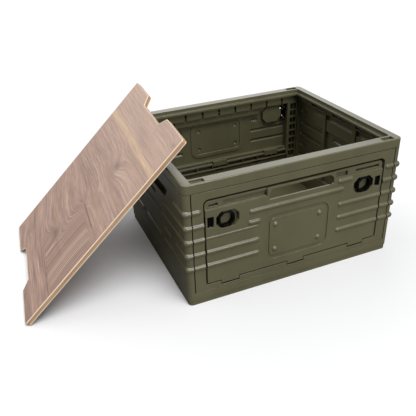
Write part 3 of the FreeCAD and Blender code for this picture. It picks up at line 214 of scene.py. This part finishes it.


# Materials. An edge is given by its radius in metres, a bump by its strength and its depth in metres, and an
# edge's wear and painted highlight or a tint by its share and colour.

def material(name):
    """A new material: its tree, its shader's node and the place on the piece."""
    made = bpy.data.materials.new(name)
    made.use_nodes = True
    shader = made.node_tree.nodes["Principled BSDF"]
    tree = Tree(made.node_tree)
    return made, tree, shader, tree.add("TexCoord", output="Object")


def feed(tree, shader, **values):
    """Link or set the shader's own sockets."""
    for name, value in values.items():
        tree.join(value, shader.inputs[name.replace("_", " ")])


# Painted shade in the seams: its colour and how far it looks for occlusion, in metres
SEAM_SHADE_TONE = srgb(9, 9, 7)
SEAM_SHADE_REACH = 0.004
FLOW_TONES = (0.3, 0.7)
FLOW_ROUGHNESS = 0.16
WEAR_AND_HIGHLIGHT_SHARE = 0.35
RUB_ROUGHNESS = -0.06
DUST_SHARE = 0.06
MOULD_BUMP = (0.06, 0.00012)


def moulded(name, deep, pale, wear_highlight_dust, roughness, shine, pits, radius):
    """Moulded plastic: flow marks between two tones, edge wear with a painted highlight, a spark texture and
    painted shade in the seams.
    """
    made, t, shader, place = material(name)
    edge = t.use(EASED_EDGES, Place=place, Radius=radius)
    grain = t.use(SPARK_TEXTURE, Place=place, Pits=pits)
    colour = t.mix(t.span(grain["Tone"], *FLOW_TONES), deep, pale)
    # Edge wear with a painted highlight: edges paler, as if they caught the light
    colour = t.tint(colour, edge["WearAndHighlight"], WEAR_AND_HIGHLIGHT_SHARE, wear_highlight_dust)
    colour = t.tint(colour, grain["Dust"], DUST_SHARE, wear_highlight_dust)
    # Painted shade: the colour goes dark deep in the seams, where little open sky is seen
    colour = t.mix(t.use(SEAM_SHADE, Reach=SEAM_SHADE_REACH)["PaintedShade"], colour, SEAM_SHADE_TONE)
    rough = t.plus(roughness, t.times(t.minus(grain["Tone"], 0.5), FLOW_ROUGHNESS))
    rough = t.plus(rough, t.times(edge["WearAndHighlight"], RUB_ROUGHNESS))
    bump = t.bump(*MOULD_BUMP, grain["Height"], Normal=edge["Normal"])
    feed(t, shader, Base_Color=colour, Roughness=rough, Normal=bump, Specular_IOR_Level=shine)
    return made


STEEL_EDGE = 0.0003
STEEL_TONES = (srgb(140, 140, 143), srgb(172, 172, 171))
STEEL_LINES = ((125.0, 2500.0, 2500.0), 2.0, 0.5)
STEEL_CLOUDS = (160.0, 3.0, 0.6)
STEEL_ROUGHNESS = 0.2
STEEL_DULLING = 0.14
STEEL_BUMP = (0.15, 0.00005)


def plated_steel(name):
    """Zinc plated steel: fine lines along the rod and a cloudy plating."""
    made, t, shader, place = material(name)
    edge = t.use(EASED_EDGES, Place=place, Radius=STEEL_EDGE)
    lines = t.drawn(place, *STEEL_LINES)
    cloud = t.noise(place, *STEEL_CLOUDS)
    rough = t.plus(STEEL_ROUGHNESS, t.times(t.plus(cloud, lines), STEEL_DULLING))
    bump = t.bump(*STEEL_BUMP, lines, Normal=edge["Normal"])
    feed(t, shader, Base_Color=t.mix(cloud, *STEEL_TONES), Metallic=1.0, Roughness=rough, Normal=bump)
    return made


LID_LEAN = math.radians(44.2)
LID_TURN = math.radians(-4.3)
lid_low, lid_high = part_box("lid_edge_band")
LID_MIDDLE = (lid_low + lid_high) / 2
LID_TILT = (Matrix.Rotation(LID_TURN, 3, "Z") @ Matrix.Rotation(-LID_LEAN, 3, "Y")).to_euler("XYZ")


def on_lid(t, place):
    """Place on the lid: along its length, across it and up from its middle, in metres."""
    inputs = {"Vector": place, "Location": LID_MIDDLE, "Rotation": LID_TILT}
    return t.add("Mapping", inputs, vector_type="TEXTURE")


# The veneer's figure, in metres along and across the lid from its middle.
# Noise that bends the grain, and how far
SLOW = ((9.0, 4.0, 0.0), 2.0, 0.45)
SLOW_BEND = 0.010
QUICK = ((60.0, 14.0, 0.0), 2.0, 0.5)
QUICK_BEND = 0.0015
SLANT = 0.16
SLANT_ALONG = (0.02, -0.05)
SLANT_ACROSS = (-0.02, 0.10)
# Knots: middle, reach and how far each lifts the grain
KNOTS = [((-0.011, -0.040), 0.010, 0.013), ((0.024, -0.041), 0.007, 0.009), ((0.080, -0.034), 0.022, 0.019),
         ((-0.178, 0.098), 0.012, 0.012), ((0.190, -0.157), 0.011, 0.013), ((-0.100, -0.012), 0.030, -0.022)]
KNOT_SQUEEZE = 0.62
HEART_REACH = 0.36
HEART_FULL = 0.02
# A seam between planks, and a crack with its two ends across the lid
SEAM = -0.142
SEAM_WIDTH = 0.0007
CRACK = -0.0145
CRACK_WIDTH = 0.0013
CRACK_SWAY = 0.006
CRACK_ENDS = ((-0.13, -0.11), (-0.02, -0.04))
# The fan of arcs between the seam and the crack, and its ripples
FAN = (-0.065, -0.275)
FAN_SQUEEZE = 0.8
FAN_START = 0.325
FAN_WANDER = 0.5
FAN_LEFT = (SEAM, SEAM + 0.006)
FAN_RIGHT = (CRACK + 0.003, CRACK - 0.012)
FAN_FRAY = 0.01
FAN_EDGE = (0.005, -0.065)
RIPPLE = 0.0066
RIPPLE_FRAY = 0.004
RIPPLE_SHARE = 0.07
# The grain's layers: scales across and along the grain, detail, roughness and share of the figure
GRAIN = {
    "broad": (40.0, 3.0, 1.0, 0.5, 0.3),
    "streaks": (240.0, 6.0, 2.0, 0.55, 0.5),
    "lines": (640.0, 12.0, 2.0, 0.6, 0.72),
    "fibres": (1500.0, 40.0, 1.0, 0.5, 0.45),
}
# Walnut from its darkest to its palest figure
WALNUT = [(0.18, (86, 67, 59)), (0.38, (133, 107, 95)), (0.5, (158, 129, 117)), (0.62, (178, 149, 134)),
          (0.84, (212, 185, 163))]
TAN_CLOUDS = ((26.0, 6.0, 0.0), 2.0, 0.5)
TAN_COVER = (0.5, 0.72)
TAN = (0.45, srgb(178, 145, 119))
DUSKY_CLOUDS = ((23.4, 7.8, 3.9), 2.0, 0.5)
DUSKY_COVER = (0.52, 0.74)
DUSKY = (0.42, srgb(110, 92, 87))
# Painted light: the lid paler towards its upper end, where more light falls; where that begins and is full
# along the lid, then share and colour
UPPER_LIGHT_COVER = (-0.02, 0.20)
UPPER_LIGHT = (0.44, srgb(206, 180, 162))
# A pale streak: its middle, width, sway, colour, share and how far the lines break it up
PALE_MIDDLE = 0.1315
PALE_WIDTH = 0.0075
PALE_SWAY = 0.012
PALE = srgb(220, 188, 150)
PALE_SHARE = 0.45
PALE_BREAKS = 1.8
# Dark marks and their shares
MARK = srgb(84, 66, 60)
SEAM_MARK = 0.3
CRACK_MARK = 0.75
HEART_MARK = 0.5
PORE_MARK = 0.3
PORES = (0.12, 0.25)
PORE_PITS = (0.1, 0.22)
PORE_DEPTH = 0.6
VENEER_EDGE = 0.0006
VENEER_WEAR_AND_HIGHLIGHT = (0.6, srgb(232, 208, 178))
VENEER_ROUGHNESS = 0.46
VENEER_SHINE = 0.3
VENEER_BUMP = (0.18, 0.0002)
LINE_ROUGHNESS = 0.2


def ramp(t, value, stops):
    """Colours along a value."""
    node = t.add("ValToRGB", {0: value}).node
    elements = node.color_ramp.elements
    while len(elements) < len(stops):
        elements.new(0.5)
    for element, (spot, colour) in zip(elements, stops):
        element.position = spot
        element.color = srgb(*colour)
    return node.outputs[0]


def run_of_grain(t, lid, along, across, slow, quick):
    """The ring value, the fan's arcs, where the fan is and the hearts of the knots.

    The ring value is the place along the lid, bent by noise, lifted by a bell over each knot and turned into
    arcs about one point where the figure fans out.
    """
    wander = t.plus(t.times(slow, SLOW_BEND), t.times(quick, QUICK_BEND))
    slanted = t.times(t.span(across, *SLANT_ACROSS), t.span(along, *SLANT_ALONG))
    ring = t.minus(t.plus(along, wander), t.times(t.times(slanted, across), SLANT))
    hearts = 0.0
    for middle, reach, lift in KNOTS:
        away = t.vector("SUBTRACT", lid, (*middle, 0.0))
        far = t.length(t.stretch(away, 1.0, KNOT_SQUEEZE, 0.0))
        ring = t.plus(ring, t.times(t.bell(far, 0.0, reach), lift))
        heart = t.times(t.bell(far, 0.0, reach * HEART_REACH), min(1.0, abs(lift) / HEART_FULL))
        hearts = t.most(hearts, heart)

    away = t.vector("SUBTRACT", lid, (*FAN, 0.0))
    arc = t.plus(t.length(t.stretch(away, FAN_SQUEEZE, 1.0, 0.0)), t.times(wander, FAN_WANDER))
    left = t.span(along, *FAN_LEFT)
    right = t.span(t.plus(along, t.times(quick, FAN_FRAY)), *FAN_RIGHT)
    inside = t.times(t.times(left, right), t.span(across, *FAN_EDGE))
    ring = t.add("Mix", {0: inside, 2: ring, 3: t.minus(arc, FAN_START)})
    return ring, arc, inside, hearts


def walnut(name, shift):
    """Walnut veneer, its grain across the lid.

    Its layers are noise drawn out along the grain at the ring value; the fan also has ripples,
    sin(2 pi arc / RIPPLE).
    """
    made, t, shader, place = material(name)
    lid = t.vector("ADD", on_lid(t, place), (shift, 0.0, 0.0))
    along, across, _ = t.add("SeparateXYZ", {0: lid}).node.outputs
    slow = t.minus(t.drawn(lid, *SLOW), 0.5)
    quick = t.minus(t.drawn(lid, *QUICK), 0.5)
    ring, arc, inside, hearts = run_of_grain(t, lid, along, across, slow, quick)

    figure = 0.5
    layers = {}
    for layer, (fine, long_, detail, rough, share) in GRAIN.items():
        spot = t.add("CombineXYZ", {0: t.times(ring, fine), 1: t.times(across, long_)})
        layers[layer] = t.minus(t.noise(spot, 1.0, detail, rough), 0.5)
        figure = t.plus(figure, t.times(layers[layer], share))
    lines, fibres = layers["lines"], layers["fibres"]
    ripple = t.math("SINE", t.times(t.plus(arc, t.times(quick, RIPPLE_FRAY)), 2 * math.pi / RIPPLE))
    figure = t.plus(figure, t.times(ripple, t.times(inside, RIPPLE_SHARE)))

    colour = ramp(t, figure, WALNUT)
    colour = t.tint(colour, t.span(t.drawn(lid, *TAN_CLOUDS), *TAN_COVER), *TAN)
    colour = t.tint(colour, t.span(t.drawn(lid, *DUSKY_CLOUDS), *DUSKY_COVER), *DUSKY)
    # Painted light: paler towards the lid's upper end
    colour = t.tint(colour, t.span(along, *UPPER_LIGHT_COVER), *UPPER_LIGHT)
    pale = t.bell(t.plus(along, t.times(slow, PALE_SWAY)), PALE_MIDDLE, PALE_WIDTH)
    colour = t.tint(colour, pale, t.plus(PALE_SHARE, t.times(lines, PALE_BREAKS)), PALE)

    seam = t.bell(along, SEAM, SEAM_WIDTH)
    crack = t.bell(t.plus(along, t.times(quick, CRACK_SWAY)), CRACK, CRACK_WIDTH)
    for end in CRACK_ENDS:
        crack = t.times(crack, t.span(across, *end))
    pores = t.span(fibres, *PORES)
    mark = 0.0
    for cover, share in ((seam, SEAM_MARK), (crack, CRACK_MARK), (hearts, HEART_MARK), (pores, PORE_MARK)):
        mark = t.most(mark, t.times(cover, share))
    colour = t.mix(mark, colour, MARK)

    edge = t.use(EASED_EDGES, Place=place, Radius=VENEER_EDGE)
    # Edge wear with a painted highlight along the veneer's edges
    colour = t.tint(colour, edge["WearAndHighlight"], *VENEER_WEAR_AND_HIGHLIGHT)
    rough = t.plus(VENEER_ROUGHNESS, t.times(lines, LINE_ROUGHNESS))
    height = t.minus(lines, t.times(t.span(fibres, *PORE_PITS), PORE_DEPTH))
    bump = t.bump(*VENEER_BUMP, height, Normal=edge["Normal"])
    feed(t, shader, Base_Color=colour, Roughness=rough, Normal=bump, Specular_IOR_Level=VENEER_SHINE)
    return made


BAND_EDGE = 0.0011
BAND_WEAR_AND_HIGHLIGHT = (0.5, srgb(246, 230, 206))
BAND_TONES = (srgb(150, 116, 86), srgb(186, 152, 118))
BAND_ROUGHNESS = 0.4
BAND_BUMP = (0.15, 0.0002)
GROWTH = ((22.0, 22.0, 900.0), 3.0, 0.6)
GROWTH_TONES = (0.3, 0.7)
BLOTCHES = ((20.0, 20.0, 60.0), 3.0, 0.5)
BLOTCH_COVER = (0.45, 0.75)
BLOTCH = (0.4, srgb(168, 130, 98))
# Painted cream highlight along the arrises: heights from the lid's middle, colour, and the blotches that fade
# it, with the two shares
ARRIS = (0.0026, 0.0036)
ARRIS_HIGHLIGHT = srgb(240, 220, 194)
ARRIS_HIGHLIGHT_FADE = (0.1, 0.5, 0.8, 1.0)


def banded_edge(name):
    """Pale edge band: thin growth lines round the lid, and a painted cream highlight along both arrises."""
    made, t, shader, place = material(name)
    lid = on_lid(t, place)
    edge = t.use(EASED_EDGES, Place=place, Radius=BAND_EDGE)
    lines = t.drawn(lid, *GROWTH)
    blotches = t.drawn(lid, *BLOTCHES)
    colour = t.mix(t.span(lines, *GROWTH_TONES), *BAND_TONES)
    colour = t.tint(colour, t.span(blotches, *BLOTCH_COVER), *BLOTCH)
    # Painted highlight: cream along both arrises, faded by the blotches
    arris = t.span(t.math("ABSOLUTE", t.add("SeparateXYZ", {0: lid}, "Z")), *ARRIS)
    colour = t.tint(colour, arris, t.span(blotches, *ARRIS_HIGHLIGHT_FADE), ARRIS_HIGHLIGHT)
    # Edge wear with a painted highlight along the band's edges
    colour = t.tint(colour, edge["WearAndHighlight"], *BAND_WEAR_AND_HIGHLIGHT)
    rough = t.plus(BAND_ROUGHNESS, t.times(lines, LINE_ROUGHNESS))
    bump = t.bump(*BAND_BUMP, lines, Normal=edge["Normal"])
    feed(t, shader, Base_Color=colour, Roughness=rough, Normal=bump)
    return made


BOARD_FIBRES = ((500.0, 500.0, 1800.0), 4.0, 0.7)
BOARD_TONES = (srgb(134, 104, 74), srgb(190, 160, 124))
BOARD_ROUGHNESS = (0.2, 0.8, 0.75, 0.9)
BOARD_BUMP = (0.4, 0.0003)


def pressed_board(name):
    """Fibreboard core: matted fibres in two browns."""
    made, t, shader, place = material(name)
    fibres = t.drawn(on_lid(t, place), *BOARD_FIBRES)
    bump = t.bump(*BOARD_BUMP, fibres)
    feed(t, shader, Base_Color=t.mix(fibres, *BOARD_TONES), Roughness=t.span(fibres, *BOARD_ROUGHNESS),
         Normal=bump)
    return made


FINISHES = {
    "olive_plastic": moulded("olive_moulding", deep=srgb(87, 84, 62), pale=srgb(93, 90, 67),
                             wear_highlight_dust=srgb(140, 136, 112), roughness=0.21, shine=0.5,
                             pits=900.0, radius=0.0009),
    "black_plastic": moulded("latch_black", deep=srgb(5, 5, 6), pale=srgb(8, 8, 9),
                             wear_highlight_dust=srgb(34, 34, 36), roughness=0.22, shine=0.09,
                             pits=1100.0, radius=0.0006),
    "steel": plated_steel("plated_steel"),
    "wood_laminate": walnut("walnut_veneer", shift=0.0),
    "board_core": pressed_board("pressed_board"),
    "edge_band": banded_edge("banded_edge"),
}
UNDERSIDE = walnut("walnut_underside", shift=0.83)

for part in frame["record"]["subparts"]:
    slots = nodes[part["node"]].data.materials
    slots.clear()
    slots.append(UNDERSIDE if part["node"] == "lid_bottom_laminate" else FINISHES[part["material_slot"]])


def put(name, data):
    """A new object in the scene."""
    made = bpy.data.objects.new(name, data)
    bpy.context.scene.collection.objects.link(made)
    return made


def faced(name, corners, faces):
    """A new object with these corners and faces."""
    mesh = bpy.data.meshes.new(name)
    mesh.from_pydata(corners, [], faces)
    return put(name, mesh)


# A thin lip under the back wall's head, behind its slots, shuts the gap over the door. It is black plastic, a
# dark sheet that makes the slots and the gap read as painted shade. In metres.

LIP_THICKNESS = 0.001
LIP_SET_BACK = 0.0116
LIP_CLEARANCE = 0.0006
LIP_SIDE_GAP = 0.002
LIP_SEAT = 0.0002
BACK_HEAD_GAP = 0.003
QUADS = [(0, 1, 3, 2), (4, 6, 7, 5), (0, 4, 5, 1), (2, 3, 7, 6), (0, 2, 6, 4), (1, 5, 7, 3)]


def shade_lip():
    """A strip as wide as the back door, from the head's underside to just over the door's top."""
    door_low, door_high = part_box("back_door_panel")
    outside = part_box("back_wall_frame")[1][1]
    ends = (door_low[0] + LIP_SIDE_GAP, door_high[0] - LIP_SIDE_GAP)
    faces = (outside - LIP_SET_BACK, outside - LIP_SET_BACK + LIP_THICKNESS)
    levels = (door_high[2] + LIP_CLEARANCE, door_high[2] + BACK_HEAD_GAP + LIP_SEAT)
    return faced("back_head_shade_lip", [(x, y, z) for x in ends for y in faces for z in levels], QUADS)


lip = shade_lip()
# Black, so that the slots and the gap over the door read as painted shade
lip.data.materials.append(FINISHES["black_plastic"])
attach(lip, "back_wall")

# Floor and light

FLOOR_REACH = 60.0
FLOOR_DROP = 0.0002
FLOOR_SEEN = (0.797, 0.80, 0.81, 1.0)
FLOOR_MIRRORED = grey(0.14)
FLOOR_BOUNCED = grey(0.38)
PAPER_ROUGHNESS = 0.9
PAPER_TOOTH = 900.0
PAPER_BUMP = (0.02, 0.0002)
SKY_SEEN = grey(1.0)
SKY_FILL = (0.13, 0.13, 0.131, 1.0)


def floor_sheet():
    """A flat square just under the ground."""
    far = FLOOR_REACH
    corners = [(x, y, -FLOOR_DROP) for x, y in ((-far, -far), (far, -far), (far, far), (-far, far))]
    return faced("floor", corners, [(0, 1, 2, 3)])


def floor_paper():
    """Pale paper with a faint tooth: white for the camera, darker in reflections and for bounced light."""
    made, t, shader, place = material("floor_paper")
    rays = t.add("LightPath").node.outputs
    bounced = t.mix(rays["Is Glossy Ray"], FLOOR_BOUNCED, FLOOR_MIRRORED)
    colour = t.mix(rays["Is Camera Ray"], bounced, FLOOR_SEEN)
    tooth = t.bump(*PAPER_BUMP, t.noise(place, PAPER_TOOTH))
    feed(t, shader, Base_Color=colour, Roughness=PAPER_ROUGHNESS, Specular_IOR_Level=0.0, Normal=tooth)
    return made


floor = floor_sheet()
floor.data.materials.append(floor_paper())


def studio():
    """A sky that is white where it is seen or mirrored, and gives a low even fill."""
    made = bpy.data.worlds.new("studio")
    made.use_nodes = True
    sky = Tree(made.node_tree)
    rays = sky.add("LightPath").node.outputs
    seen = sky.most(sky.most(rays["Is Camera Ray"], rays["Is Glossy Ray"]), rays["Is Transmission Ray"])
    backdrop = made.node_tree.nodes["Background"]
    sky.join(sky.mix(seen, SKY_FILL, SKY_SEEN), backdrop.inputs["Color"])
    sky.join(1.0, backdrop.inputs["Strength"])
    return made


bpy.context.scene.world = studio()

# Softboxes far off: the direction that they stand in, strength and width in degrees
SOFTBOXES = {
    "overhead_softbox": ((0.06, -0.42, 0.905), 2.85, 40.0),
    "front_softbox": ((0.25, -0.95, 0.19), 1.1, 24.0),
    "back_softbox": ((-0.54, 0.42, 0.73), 1.1, 62.0),
    "low_back_softbox": ((0.25, 0.80, 0.54), 0.45, 46.0),
}


def softbox(name, stand, strength, width):
    """A sun lamp as wide as a softbox."""
    lamp = bpy.data.lights.new(name, "SUN")
    lamp.energy = strength
    lamp.angle = math.radians(width)
    put(name, lamp).rotation_euler = Vector(stand).to_track_quat("Z", "Y").to_euler()


for name, values in SOFTBOXES.items():
    softbox(name, *values)

# The camera's place, in box lengths along its own right, up and back, worked out from the box's corners
PICTURE = 416
FOCAL = 533.6
SENSOR = 36
AZIMUTH, ELEVATION, ROLL = (math.radians(a) for a in (-22.135, 29.904, -2.164))
STAND = (-0.2206, 0.1136, 2.7030)
tray_low, tray_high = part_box("base_tray")
BOX_LENGTH = tray_high[0] - tray_low[0]


def photo_camera():
    """The photo's camera: turned about the box, raised, rolled, and set off from it."""
    back = Vector((math.sin(AZIMUTH) * math.cos(ELEVATION), -math.cos(AZIMUTH) * math.cos(ELEVATION),
                   math.sin(ELEVATION)))
    level = Vector((math.cos(AZIMUTH), math.sin(AZIMUTH), 0))
    rise = back.cross(level)
    right = math.cos(ROLL) * level + math.sin(ROLL) * rise
    up = math.cos(ROLL) * rise - math.sin(ROLL) * level
    data = bpy.data.cameras.new("camera")
    data.sensor_width = SENSOR
    data.lens = SENSOR * FOCAL / PICTURE
    made = put("camera", data)
    axes = Matrix((right, up, back)).transposed()
    made.matrix_world = Matrix.Translation(axes @ Vector(STAND) * BOX_LENGTH) @ axes.to_4x4()
    return made


bpy.context.scene.camera = photo_camera()
bpy.context.scene.view_settings.view_transform = "Standard"
